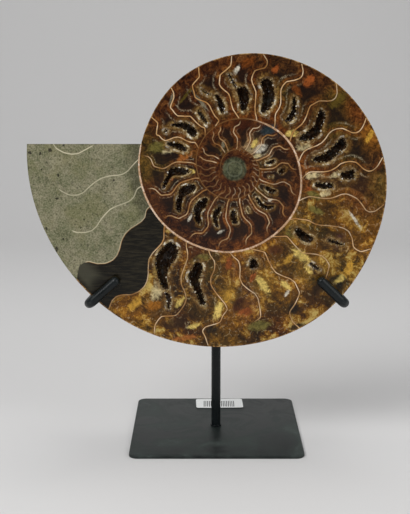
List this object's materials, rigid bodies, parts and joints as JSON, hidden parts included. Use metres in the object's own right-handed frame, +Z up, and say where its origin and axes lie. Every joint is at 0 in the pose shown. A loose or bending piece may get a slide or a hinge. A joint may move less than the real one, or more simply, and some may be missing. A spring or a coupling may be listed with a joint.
{
  "type": "ammonite fossil half on stand",
  "caption": "Sawn and polished half of a fossil ammonite with open chambers, held upright by two clawed arms on a post and square base plate.",
  "frame": {"origin": "middle of the base plate's underside", "axes": "+Z up along the post; the polished face looks along -Y; +X to the right of somebody looking at the face"},
  "size_m": [0.2487, 0.125, 0.2813],
  "materials": {
    "fossil_stone": "sawn and polished face with tan chamber walls, brown to amber fillings and a grey sandstone end; satin brown shell behind",
    "calcite_crystals": "small pale to dark brown calcite crystals",
    "black_paint": "satin black paint with a greenish grey sheen and light scuffs",
    "label_paper": "plain white sticker paper"
  },
  "bodies": {
    "root": {"ammonite_half": "fossil_stone", "chamber_crystals_01": "calcite_crystals", "chamber_crystals_02": "calcite_crystals", "chamber_crystals_03": "calcite_crystals", "chamber_crystals_04": "calcite_crystals", "chamber_crystals_05": "calcite_crystals", "chamber_crystals_06": "calcite_crystals", "chamber_crystals_07": "calcite_crystals", "chamber_crystals_08": "calcite_crystals", "base_plate": "black_paint", "post": "black_paint", "left_arm": "black_paint", "right_arm": "black_paint", "label": "label_paper"}
  },
  "joints": []
}
